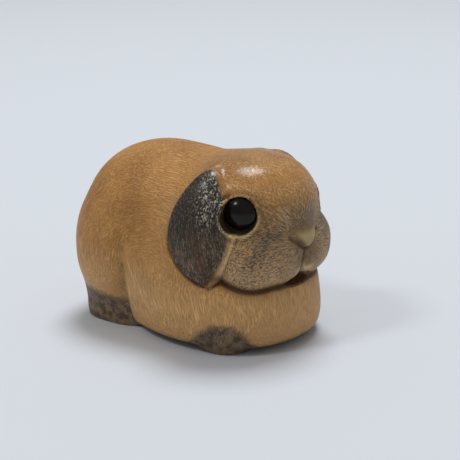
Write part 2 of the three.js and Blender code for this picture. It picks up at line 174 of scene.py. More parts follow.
def bar_distance(bar, p):
    start, end = (np.array(e) for e in bar["ends"])
    axis = end - start
    t = np.clip((p - start) @ axis / (axis @ axis), 0, 1)
    gap = np.linalg.norm(p - start - t[:, None] * axis, axis=1)
    return gap - (bar["radii"][0] + (bar["radii"][1] - bar["radii"][0]) * t)


def ear_leaf(p):
    """Where a point lies in the ear's leaf: share of the way down, distance forward, outline distance."""
    axis = EAR_TIP - EAR_TOP
    reach = np.linalg.norm(axis)
    axis = axis / reach
    offset = p[:, 1:] - EAR_TOP
    down = offset @ axis / reach
    forward = offset[:, 1] * axis[0] - offset[:, 0] * axis[1]
    along = np.clip(down, 0, 1)
    front, back = (
        edge["width"] * np.sin(np.pi * along ** edge["skew"])
        ** (edge["fullness"][0] + (edge["fullness"][1] - edge["fullness"][0]) * along)
        for edge in (EAR_FRONT, EAR_BACK)
    )
    ends = np.maximum(-down, down - 1) * reach
    outline = np.maximum(np.maximum(forward - front, -forward - back), ends)
    return down, forward, front, outline


def crease_depth(p):
    line = CREASE["foot"] - CREASE["lean"] * p[:, 2] / CREASE["fade"][1]
    fade = 1 - ramp(*CREASE["fade"], p[:, 2])
    inward = ramp(*CREASE["inner"], p[:, 0])
    return CREASE["depth"] * fade * inward * np.exp(-((p[:, 1] - line) / CREASE["width"]) ** 2)


def trunk(p):
    d = join(mass_distance(TORSO, p), mass_distance(HAUNCH, p), BLEND["haunch"])
    front = join(mass_distance(CHEST, p), mass_distance(FLANK, p), BLEND["flank"])
    d = join(d, front, BLEND["sides"]) + crease_depth(p)
    d = join(d, mass_distance(RUMP, p), BLEND["rump"])
    d = join(d, mass_distance(TAIL, p), BLEND["tail"])
    return keep_both(d, BELLY_LIFT - p[:, 2], BLEND["sides"])


def head(p):
    skull = join(mass_distance(SKULL, p), mass_distance(CHEEK, p), BLEND["cheek"])
    snout = join(bar_distance(NOSE_BRIDGE, p), mass_distance(MUZZLE, p), BLEND["muzzle"])
    return join(skull, snout, BLEND["face"])


def ear(p):
    edge = ear_leaf(p)[3] * EAR_BEVEL
    leaf = keep_both(mass_distance(EAR, p), edge, BLEND["ear_edge"])
    return keep_both(leaf, EAR_INNER - p[:, 0], BLEND["ear_side"])


def knife_line(line, p):
    """How deep in a line on the front of the face a point lies, from 0 to 1."""
    start, end = (np.array(e) for e in line["ends"])
    axis = end - start
    offset = p[:, (0, 2)] - start
    t = np.clip(offset @ axis / (axis @ axis), 0, 1)
    gap = np.linalg.norm(offset - t[:, None] * axis, axis=1)
    return np.exp(-(gap / line["width"]) ** 2) * ramp(*KNIFE_FRONT, p[:, 1])


def nose_pad(p):
    """1 on the three-cornered pad of the nose, seen from the front, and 0 round it."""
    soft, top = NOSE_PAD["soft"], NOSE_PAD["top"]
    side = (p[:, 2] - NOSE_PAD["foot"]) * NOSE_PAD["slope"] - p[:, 0]
    below_top = ramp(top, top - 4 * soft, p[:, 2])
    return ramp(-soft, soft, side) * below_top * ramp(*NOSE_PAD["front"], p[:, 1])


def chin_seam(gap, ahead, width):
    """1 where the head's surface meets the body's under the chin, and 0 away from that line."""
    return np.exp(-(gap / width) ** 2) * ramp(*CHIN_CUT["ahead"], ahead)


def either_side(p):
    return np.column_stack([np.abs(p[:, 0]), p[:, 1:]])


def with_nose_straight(p):
    """Takes the turn out of the nose, so that both sides of the face are alike."""
    return np.column_stack([p[:, 0] - NOSE_TURN * ramp(*NOSE_TURN_FADE, p[:, 1]), p[:, 1:]])


def rough_carving(p):
    """The carving before its eyes are cut in."""
    face = either_side(with_nose_straight(p))
    p = either_side(p)
    body_side, head_side = trunk(p), head(face)
    under_chin = chin_seam(body_side - head_side, p[:, 1], CHIN_CUT["width"])
    d = join(body_side, head_side, BLEND["chin"]) + CHIN_CUT["depth"] * under_chin
    d = join(d, mass_distance(NECK, p), BLEND["neck"])
    down, _, _, outline = ear_leaf(p)
    beside_ear = np.exp(-(outline / EAR_CUT["width"]) ** 2) * ramp(*EAR_CUT["across"], p[:, 0])
    beside_ear = beside_ear * ramp(*EAR_CUT["down"], down)
    d = join(d + EAR_CUT["depth"] * beside_ear, ear(p), BLEND["ear"])
    d = join(d, bar_distance(EAR_ROOT, p), BLEND["ear_root"])
    d = join(d, mass_distance(HIND_FOOT, p), BLEND["hind_foot"])
    d = join(d, mass_distance(FORE_PAW, p), BLEND["fore_paw"])
    d = keep_both(d, -mass_distance(MOUTH, face), BLEND["cut"])
    for line in (NOSTRIL, LIP_SPLIT):
        d = d + line["depth"] * knife_line(line, face)
    return d - NOSE_PAD["rise"] * nose_pad(face)


def slope_at(distance, p, step=0.0006):
    slope = np.empty_like(p)
    for axis in range(3):
        shift = np.zeros(3)
        shift[axis] = step
        slope[:, axis] = (distance(p + shift) - distance(p - shift)) / (2 * step)
    return slope


def eye_seat(side):
    """Where an eye's middle line meets the side of the head, and the way it faces."""
    inside, outside = 0.0, 0.5
    for _ in range(40):
        middle = (inside + outside) / 2
        if rough_carving(np.array([[side * middle, *EYE_AT]]))[0] < 0:
            inside = middle
        else:
            outside = middle
    place = np.array([side * inside, *EYE_AT])
    slope = slope_at(rough_carving, place[None])[0]
    return place, slope / np.linalg.norm(slope)


EYE_SEATS = {-1: eye_seat(-1), 1: eye_seat(1)}


def round_an_eye(p, seat, facing, sag=0.0):
    """How far out from an eye's seat a point lies, and how far from the eye's middle line."""
    offset = p - seat + np.array((0, 0, sag))
    out = offset @ facing
    return out, np.linalg.norm(offset - out[:, None] * facing, axis=1)


def carving(p):
    """The finished carving, in shares of the length: across, ahead, up."""
    d = rough_carving(p)
    for seat, facing in EYE_SEATS.values():
        out, around = round_an_eye(p, seat, facing, LID_SAG)
        for ring in (LID, LID_FOLD):
            near_surface = np.exp(-(out / LID_FADE) ** 2)
            d = d - ring["rise"] * near_surface * np.exp(-((around - ring["radius"]) / ring["width"]) ** 2)
        opening = np.maximum(around - LID_OPENING, -out - LID_DEPTH)
        d = keep_both(d, -opening, BLEND["cut"])
        out, around = round_an_eye(p, seat, facing)
        socket = np.maximum(around - SOCKET_RADIUS, -out - SOCKET_DEPTH)
        d = keep_both(d, -socket, BLEND["cut"] / 2)
    return np.maximum(d, -p[:, 2])


def in_chunks(function, p, size=120000):
    return np.concatenate([function(p[i:i + size]) for i in range(0, len(p), size)])


def carved_grid():
    """Distances on a fine grid, worked out only in the blocks that the surface may pass through."""
    reach = np.array(GRID_REACH)
    blocks = np.ceil((reach[1] - reach[0]) / (MESH_STEP * BLOCK)).astype(int)
    lines = [reach[0][a] + MESH_STEP * np.arange(blocks[a] * BLOCK) for a in range(3)]
    centres = [reach[0][a] + MESH_STEP * (np.arange(blocks[a]) * BLOCK + (BLOCK - 1) / 2) for a in range(3)]
    mesh = np.stack(np.meshgrid(*centres, indexing="ij"), -1).reshape(-1, 3)
    coarse = in_chunks(carving, mesh).reshape(blocks)
    values = coarse
    for axis in range(3):
        values = np.repeat(values, BLOCK, axis=axis)
    near = np.abs(values) < MESH_STEP * BLOCK * 1.7
    where = np.argwhere(near)
    points = np.stack([lines[a][where[:, a]] for a in range(3)], -1)
    values[near] = in_chunks(carving, points)
    return values, reach[0]


def surface_net(values, origin):
    """One vertex in each cell that the surface crosses, and a quad for each grid edge it crosses."""
    inside = values < 0
    corners = [(i, j, k) for i in (0, 1) for j in (0, 1) for k in (0, 1)]
    size = np.array(values.shape) - 1
    count = sum(inside[i:i + size[0], j:j + size[1], k:k + size[2]].astype(np.int8) for i, j, k in corners)
    cells = np.argwhere((count > 0) & (count < 8))
    number = np.full(size, -1)
    number[tuple(cells.T)] = np.arange(len(cells))
    total = np.zeros((len(cells), 3))
    crossings = np.zeros(len(cells))
    for a in corners:
        for axis in range(3):
            if a[axis]:
                continue
            b = list(a)
            b[axis] = 1
            va = values[tuple((cells + a).T)]
            vb = values[tuple((cells + b).T)]
            crossed = (va < 0) != (vb < 0)
            place = np.tile(np.array(a, float), (len(cells), 1))
            place[:, axis] = np.where(crossed, va / np.where(crossed, va - vb, 1), 0)
            total[crossed] += place[crossed]
            crossings += crossed
    points = origin + MESH_STEP * (cells + total / crossings[:, None])
    quads = []
    for axis in range(3):
        one, two = (axis + 1) % 3, (axis + 2) % 3
        ahead = [0, 0, 0]
        ahead[axis] = 1
        low = inside[tuple(slice(0, n - s) for n, s in zip(values.shape, ahead))]
        high = inside[tuple(slice(s, n) for n, s in zip(values.shape, ahead))]
        edges = np.argwhere(low != high)
        edges = edges[(edges[:, one] > 0) & (edges[:, two] > 0)]
        edges = edges[(edges[:, one] < size[one]) & (edges[:, two] < size[two])]
        outward = low[tuple(edges.T)]
        ring = []
        for d1, d2 in ((1, 1), (0, 1), (0, 0), (1, 0)):
            cell = edges.copy()
            cell[:, one] -= d1
            cell[:, two] -= d2
            ring.append(number[tuple(cell.T)])
        ring = np.stack(ring, -1)
        quads.append(np.where(outward[:, None], ring, ring[:, ::-1]))
    return points, np.concatenate(quads)


def settled(points, quads):
    """Evens the mesh out a little, then puts every vertex on the carving's surface."""
    start = points.copy()
    for _ in range(EVENING_PASSES):
        total = np.zeros_like(points)
        count = np.zeros(len(points))
        for n in range(4):
            a, b = quads[:, n], quads[:, (n + 1) % 4]
            np.add.at(total, a, points[b])
            np.add.at(total, b, points[a])
            np.add.at(count, a, 1)
            np.add.at(count, b, 1)
        points = points + EVENING_PULL * (total / count[:, None] - points)
        for _ in range(2):
            slope = in_chunks(lambda p: slope_at(carving, p), points)
            steep = np.maximum((slope * slope).sum(1), 0.3)
            points = points - slope * (in_chunks(carving, points) / steep)[:, None]
    drift = points - start
    length = np.linalg.norm(drift, axis=1)
    return start + drift * np.minimum(1, FURTHEST_DRIFT / np.maximum(length, 1e-12))[:, None]


body_points, body_quads = surface_net(*carved_grid())
body_points = settled(body_points, body_quads)
body_points[:, 2] = np.maximum(body_points[:, 2], 0)
middle_ahead = (body_points[:, 1].max() + body_points[:, 1].min()) / 2


def to_frame(shares):
    """Across, ahead and up in shares of the length become metres in the frame."""
    shares = np.atleast_2d(shares)
    across = shares[:, 0] * LENGTH
    back = (middle_ahead - shares[:, 1]) * LENGTH + (cad_low.y + cad_high.y) / 2
    return np.column_stack([across, back, shares[:, 2] * LENGTH])


body_mesh = bpy.data.meshes.new("carved_body_surface")
body_mesh.from_pydata(to_frame(body_points), [], body_quads[:, ::-1])
body_mesh.shade_smooth()
body = bpy.data.objects.new("carved_body_surface", body_mesh)
bpy.context.scene.collection.objects.link(body)


def store(mesh, name, values):
    """Keeps a number or a vector for each vertex, for the material to read."""
    vector = values.ndim == 2
    layer = mesh.attributes.new(name, "FLOAT_VECTOR" if vector else "FLOAT", "POINT")
    layer.data.foreach_set("vector" if vector else "value", values.astype(np.float32).ravel())


# What the material reads at each vertex: the stain, the painted shade in hollows and creases, the painted
# highlights, and the way the hair is cut. Places are in millimetres across, ahead of the soles' middle and
# up. A pair is where a mark is nil and where it is full.
FOOT_STAIN = dict(up=(6.4, 3.8), slope=0.10, level=-12, ahead=(-4.2, -5.6), across=(3.0, 7.0))
# Painted contact shadow: darker along the lowest 2.4 mm of the forward part of the body.
CONTACT_SHADE = dict(up=(2.4, 0.6), ahead=(-6.0, -3.0), strength=0.75)
PAW_STAIN = dict(off=(1.7, 0.7), up=(5.6, 4.6))
# Painted shade along the groove in front of the haunch.
GROOVE_SHADE = dict(up=(17.0, 9.0), strength=0.70)
TOES = dict(across=(3.2, 5.2, 7.2, 9.2), width=0.16, ahead=(6.5, 8.0), depth=0.35)
HEAD_EDGE = 0.006  # half the width of the face's edge, as a share of the length
FACE_WASH = dict(top=21.0, fall=0.72, level_to=3.5, soft=1.6, ahead=(8.5, 12.0), off_pad=0.8)
NOSE_BAND = dict(across=(3.5, 2.5), top=(21.2, 20.0), foot=(16.2, 17.8), ahead=(15.0, 16.5), strength=0.68)

# Soft blots of stain on the muzzle, cheek and brow, and the pale front teeth: strength, middle, reach
FACE_BLOTS = (
    (0.95, (5.4, 17.2, 17.6), (1.7, 3.0, 1.3)),
    (0.95, (7.2, 16.4, 16.4), (1.5, 3.0, 1.7)),
    (0.95, (8.9, 15.8, 14.2), (1.1, 3.0, 1.8)),
    (0.95, (1.5, 17.6, 13.4), (1.1, 2.0, 1.4)),
    (0.475, (6.5, 15.5, 20.5), (1.6, 3.0, 1.3)),
    (0.855, (7.6, 14.8, 20.2), (1.9, 2.4, 3.4)),
)
TEETH = (0.9, (1.3, 17.2, 11.2), (0.8, 1.6, 0.5))

# The ear. down is the share of the way to its tip, and off is a distance from its surface. The stain
# leaves a pale rim bare along the front edge: its least width, and what it gains further down.
EAR_STARTS = (0.11, 0.14)  # across, as shares of the length
EAR_STAIN = dict(off=(0.9, 0.35), edge=(0.05, -0.15), thin=0.75, thin_down=(0.40, 0.70))
BARE_RIM = dict(least=0.02, middle=0.12, middle_down=0.50, spread=0.18, tip=0.12, tip_down=(0.5, 0.9),
                edge=(-0.15, 0.25), round_tip=0.4, shows=(0.26, 0.46))
RIM_SIDE = dict(off=(0.30, 0.08), forward=(0.0, 0.8), strength=0.9)
# Painted shade along the ear's rear edge, where it stands a little proud of the body.
BEHIND_EAR = dict(reach=0.8, forward=(0.2, -0.6), down=(0.90, 0.60), strength=0.40)
# Painted highlights: silvery glints on the cut strokes of the ear's upper front, fainter lower down.
EAR_GLINT = dict(down=(0.60, 0.20), forward=(-0.6, 1.2), low=0.16, low_down=(0.50, 0.75))

# The lids: the painted highlight on the lower lid, the painted shade, with some stain, between lid and bead,
# and the painted shade of the fold round them
LID_LINE = dict(below=(0.3, -0.7), width=0.17 * MILLIMETRE, strength=0.595)
LID_HOLLOW = (LID_OPENING + 0.12 * MILLIMETRE, LID_OPENING - 0.04 * MILLIMETRE)
LID_SHADE = dict(off=(2.5, 1.5), width=0.35 * MILLIMETRE, strength=0.40)

# Painted shade, with some patina, in hollows, which are felt for close by and further off, painted shade in
# the mouth and under the chin, and where the polish shines
CLOSE_HOLLOW = 0.8 * MILLIMETRE
WIDE_HOLLOW = 2.5 * MILLIMETRE
IN_MOUTH = dict(off=(0.5, 0.1), strength=0.8)
CHIN_CREASE = 0.75
GLOSS = dict(ahead=(0.0, 9.0), up=(21.0, 24.0), ear_down=(0.55, 0.25))

NOSE_TIP = np.array((NOSE_TURN, 0.470, 0.395))
HAIR_CENTRE = np.array((0, 0.26))  # the back's hair lines circle this point, as ahead and up

mirrored = either_side(body_points)
straight = either_side(with_nose_straight(body_points))
across_mm, ahead_mm, up_mm = (mirrored / MILLIMETRE).T
face_mm = straight[:, 0] / MILLIMETRE
normals = slope_at(carving, body_points)
normals /= np.linalg.norm(normals, axis=1)[:, None]


def openness(reach):
    """How freely the surface looks out to this distance: 1 on a flat, less in a hollow."""
    return carving(body_points + normals * reach) / reach


def blot(strength, middle, reach):
    """A soft-edged blot of stain round a place on the face."""
    place = np.column_stack([face_mm, ahead_mm, up_mm])
    return strength * np.exp(-(((place - middle) / reach) ** 2).sum(1))


head_gap = trunk(mirrored) - head(straight)
on_head = ramp(-HEAD_EDGE, HEAD_EDGE, head_gap)
# Painted shadow under the chin, where the head overhangs the chest.
under_chin = chin_seam(head_gap, mirrored[:, 1], CHIN_CUT["dark_width"])

down, forward, front, outline = ear_leaf(mirrored)
forward_mm, outline_mm = forward / MILLIMETRE, outline / MILLIMETRE
beside_head = ramp(*EAR_STARTS, mirrored[:, 0])
on_ear = ramp(*EAR_STAIN["off"], np.abs(mass_distance(EAR, mirrored)) / MILLIMETRE)
on_ear = on_ear * ramp(*EAR_STAIN["edge"], outline_mm) * beside_head
off_ear = 1 - on_ear
rim_width = BARE_RIM["least"] + BARE_RIM["tip"] * ramp(*BARE_RIM["tip_down"], down)
rim_width += BARE_RIM["middle"] * np.exp(-((down - BARE_RIM["middle_down"]) / BARE_RIM["spread"]) ** 2)
inside_rim = np.minimum(front - forward, (1 - down) * BARE_RIM["round_tip"]) / MILLIMETRE - rim_width
ear_stain = on_ear * ramp(*BARE_RIM["edge"], inside_rim)
rim_side = off_ear * ramp(*RIM_SIDE["off"], np.abs(ear(mirrored)) / MILLIMETRE)
rim_side = rim_side * ramp(*RIM_SIDE["forward"], forward_mm)
ear_rim = on_ear - ear_stain + RIM_SIDE["strength"] * rim_side
behind_ear = off_ear * np.exp(-(outline_mm / BEHIND_EAR["reach"]) ** 2) * beside_head
behind_ear = behind_ear * ramp(*BEHIND_EAR["forward"], forward_mm) * ramp(*BEHIND_EAR["down"], down)
# Painted highlight on the ear's strokes.
ear_glint = ramp(*EAR_GLINT["down"], down) * ramp(*EAR_GLINT["forward"], forward_mm)
ear_glint = ear_glint + EAR_GLINT["low"] * ramp(*EAR_GLINT["low_down"], down)

foot_top = up_mm + FOOT_STAIN["slope"] * (ahead_mm - FOOT_STAIN["level"])
foot_stain = ramp(*FOOT_STAIN["up"], foot_top) * ramp(*FOOT_STAIN["ahead"], ahead_mm)
foot_stain = foot_stain * ramp(*FOOT_STAIN["across"], across_mm)
# Painted contact shadow along the bottom edges.
contact_shade = CONTACT_SHADE["strength"] * ramp(*CONTACT_SHADE["up"], up_mm) * ramp(*CONTACT_SHADE["ahead"], ahead_mm)
paw_stain = ramp(*PAW_STAIN["off"], mass_distance(FORE_PAW, mirrored) / MILLIMETRE)
paw_stain = paw_stain * ramp(*PAW_STAIN["up"], up_mm)
# Painted shade of the lines between the toes, which are not cut in the shape.
toe_lines = sum(np.exp(-((across_mm - place) / TOES["width"]) ** 2) for place in TOES["across"])
toe_lines = toe_lines * ramp(*TOES["ahead"], ahead_mm) * paw_stain
# Painted shade along the haunch's groove.
groove_shade = np.clip(crease_depth(mirrored) / CREASE["depth"], 0, 1) ** 3 * ramp(*GROOVE_SHADE["up"], up_mm)

wash_top = FACE_WASH["top"] - FACE_WASH["fall"] * np.maximum(face_mm - FACE_WASH["level_to"], 0)
face_wash = ramp(-FACE_WASH["soft"], FACE_WASH["soft"], wash_top - up_mm)
face_wash = face_wash * ramp(*FACE_WASH["ahead"], ahead_mm) * on_head
nose_band = ramp(*NOSE_BAND["across"], face_mm) * ramp(*NOSE_BAND["ahead"], ahead_mm)
nose_band = nose_band * ramp(*NOSE_BAND["top"], up_mm) * ramp(*NOSE_BAND["foot"], up_mm)
pad = nose_pad(straight)
muzzle_stain = NOSE_BAND["strength"] * nose_band + sum(blot(*each) for each in FACE_BLOTS)
muzzle_stain = muzzle_stain * (1 - pad) * off_ear
# Painted shade in the mouth's gap.
in_mouth = ramp(*IN_MOUTH["off"], np.abs(mass_distance(MOUTH, straight)) / MILLIMETRE)

eye_out, eye_round = round_an_eye(mirrored, *EYE_SEATS[1], LID_SAG)
below_eye = ramp(*LID_LINE["below"], (mirrored[:, 2] - EYE_AT[1]) / EYE_RADIUS)
at_eye = ramp(*LID_SHADE["off"], np.abs(eye_out) / MILLIMETRE)
# Painted highlight along the lower lid.
lid_line = below_eye * at_eye * np.exp(-((eye_round - LID["radius"]) / LID_LINE["width"]) ** 2)
# Painted shade, with some stain, in the gap between the lid and the bead.
lid_hollow = at_eye * ramp(*LID_HOLLOW, eye_round)
lid_fold = at_eye * np.exp(-((eye_round - LID_FOLD["radius"]) / LID_SHADE["width"]) ** 2)

# Painted shade, with some patina: the hollows, the undercut under the chin, the fold round the lids, the
# mouth's gap and the lines between the toes.
hollow = np.clip(1 - openness(CLOSE_HOLLOW), 0, 1) + under_chin + LID_SHADE["strength"] * lid_fold
hollow += IN_MOUTH["strength"] * in_mouth + TOES["depth"] * toe_lines
# Painted shadow under the chin and along the ears' rear edges.
crease = CHIN_CREASE * under_chin + BEHIND_EAR["strength"] * behind_ear
# The pale nose pad and teeth, and the painted highlight on the lower lid.
cream = pad + blot(*TEETH) + LID_LINE["strength"] * lid_line
gloss = ramp(*GLOSS["ahead"], ahead_mm) * ramp(*GLOSS["up"], up_mm) + on_ear * ramp(*GLOSS["ear_down"], down)

store(body_mesh, "dark_stain_and_contact_shade", np.clip(ear_stain + foot_stain + paw_stain + contact_shade, 0, 1))
store(body_mesh, "stain_ear", ear_stain * (1 - EAR_STAIN["thin"] * ramp(*EAR_STAIN["thin_down"], down)))
store(body_mesh, "stain_wash", face_wash * (1 - FACE_WASH["off_pad"] * pad) * off_ear)
store(body_mesh, "muzzle_stain_and_groove_shade", np.clip(muzzle_stain + GROOVE_SHADE["strength"] * groove_shade, 0, 1))
store(body_mesh, "pale", np.clip(ear_rim, 0, 1) * ramp(*BARE_RIM["shows"], down))
store(body_mesh, "cream", np.clip(cream, 0, 1))
store(body_mesh, "hollow", hollow)
store(body_mesh, "lid_hollow", lid_hollow)
store(body_mesh, "crease", np.clip(crease, 0, 1))
store(body_mesh, "ear_glint", on_ear * ear_glint)
store(body_mesh, "gloss", np.clip(gloss, 0, 1))
# Painted shade where the surface is sheltered further off.
store(body_mesh, "shelter", np.clip(1 - openness(WIDE_HOLLOW), 0, 1))

# Where a vertex lies in the cut hair: millimetres across the strokes, and squeezed along them, which
# draws the strokes out. Each part of the coat has its own lie, and these are the parts' edges.
STROKE_DRAW = 0.065
EAR_STROKE_DRAW = 1.5 * STROKE_DRAW
CHEST_SLANT = 0.25
BACK_RADIUS = 12  # millimetres from the hair's centre, where the back's strokes are their true length
FACE_RADIUS = 8
FACE_HAIR = dict(ahead=(10.5, 13.5), up=(25.0, 23.0))
CHEST_HAIR = dict(ahead=(-7.0, -5.0), up=(13.5, 10.0))

angle = np.arctan2(mirrored[:, 2] - HAIR_CENTRE[1], -(mirrored[:, 1] - HAIR_CENTRE[0]))
radius = np.hypot(mirrored[:, 2] - HAIR_CENTRE[1], mirrored[:, 1] - HAIR_CENTRE[0]) / MILLIMETRE
signed_mm = body_points[:, 0] / MILLIMETRE
store(body_mesh, "lay_back", np.column_stack([signed_mm, radius, angle * BACK_RADIUS * STROKE_DRAW]))
away = body_points - NOSE_TIP
away_length = np.linalg.norm(away, axis=1)[:, None] / MILLIMETRE
drawn_out = FACE_RADIUS + STROKE_DRAW * (away_length - FACE_RADIUS)
store(body_mesh, "lay_face", away / MILLIMETRE / away_length * drawn_out)
chest_lay = np.column_stack([signed_mm, ahead_mm + CHEST_SLANT * up_mm, up_mm * STROKE_DRAW])
store(body_mesh, "lay_chest", chest_lay)
ear_mm = down * np.linalg.norm(EAR_TIP - EAR_TOP) / MILLIMETRE
store(body_mesh, "lay_ear", np.column_stack([signed_mm, forward_mm, ear_mm * EAR_STROKE_DRAW]))
on_face = ramp(*FACE_HAIR["ahead"], ahead_mm) * ramp(*FACE_HAIR["up"], up_mm) * on_head * off_ear
on_chest = ramp(*CHEST_HAIR["up"], up_mm) * ramp(*CHEST_HAIR["ahead"], ahead_mm) * (1 - on_face) * off_ear
store(body_mesh, "on_face", on_face)
store(body_mesh, "on_chest", on_chest)
store(body_mesh, "on_ear", on_ear)


def node(tree, kind, **settings):
    made = tree.nodes.new(kind)
    for name, value in settings.items():
        setattr(made, name, value)
    return made


def value_or_link(tree, socket, source):
    if isinstance(source, bpy.types.NodeSocket):
        tree.links.new(source, socket)
    else:
        socket.default_value = source


def math_node(tree, operation, a, b):
    made = node(tree, "ShaderNodeMath", operation=operation)
    value_or_link(tree, made.inputs[0], a)
    value_or_link(tree, made.inputs[1], b)
    return made.outputs[0]


def ramp_node(tree, source, low, high, to_low=0.0, to_high=1.0):
    made = node(tree, "ShaderNodeMapRange", interpolation_type="SMOOTHSTEP")
    for name, value in (("Value", source), ("From Min", low), ("From Max", high), ("To Min", to_low),
                        ("To Max", to_high)):
        value_or_link(tree, made.inputs[name], value)
    return made.outputs["Result"]


def mix_colour(tree, factor, a, b):
    made = node(tree, "ShaderNodeMix", data_type="RGBA")
    value_or_link(tree, made.inputs["Factor"], factor)
    value_or_link(tree, made.inputs[6], a)
    value_or_link(tree, made.inputs[7], b)
    return made.outputs[2]


def mix_value(tree, factor, a, b):
    made = node(tree, "ShaderNodeMix", data_type="FLOAT")
    value_or_link(tree, made.inputs["Factor"], factor)
    value_or_link(tree, made.inputs[2], a)
    value_or_link(tree, made.inputs[3], b)
    return made.outputs[0]


def noise(tree, vector, scale, detail=2.0, distortion=0.0):
    made = node(tree, "ShaderNodeTexNoise")
    for name, value in (("Vector", vector), ("Scale", scale), ("Detail", detail), ("Distortion", distortion)):
        value_or_link(tree, made.inputs[name], value)
    return made.outputs["Fac"]


def attribute(tree, name, output="Fac"):
    return node(tree, "ShaderNodeAttribute", attribute_type="GEOMETRY", attribute_name=name).outputs[output]


def cut_lines_group():
    """Short knife strokes: lines across the first two coordinates, drawn out along the third."""
    group = bpy.data.node_groups.new("cut_hair_lines", "ShaderNodeTree")
    group.interface.new_socket("Lay", in_out="INPUT", socket_type="NodeSocketVector")
    spacing = group.interface.new_socket("Strokes per mm", in_out="INPUT", socket_type="NodeSocketFloat")
    spacing.default_value = 3.0
    group.interface.new_socket("Line", in_out="OUTPUT", socket_type="NodeSocketFloat")
    group.interface.new_socket("Height", in_out="OUTPUT", socket_type="NodeSocketFloat")
    entry = node(group, "NodeGroupInput")
    leave = node(group, "NodeGroupOutput")
    lay, per_mm = entry.outputs["Lay"], entry.outputs["Strokes per mm"]
    coarse = noise(group, lay, per_mm, detail=1.0, distortion=0.25)
    fine = noise(group, lay, math_node(group, "MULTIPLY", per_mm, 1.9), detail=0.0)
    both = mix_value(group, 0.35, coarse, fine)
    group.links.new(ramp_node(group, both, 0.50, 0.36), leave.inputs["Line"])
    group.links.new(ramp_node(group, both, 0.34, 0.60), leave.inputs["Height"])
    return group


CUT_LINES = cut_lines_group()


def cut_lines(tree, lay, per_mm):
    made = node(tree, "ShaderNodeGroup")
    made.node_tree = CUT_LINES
    made.inputs["Strokes per mm"].default_value = per_mm
    tree.links.new(lay, made.inputs["Lay"])
    return made.outputs["Line"], made.outputs["Height"]


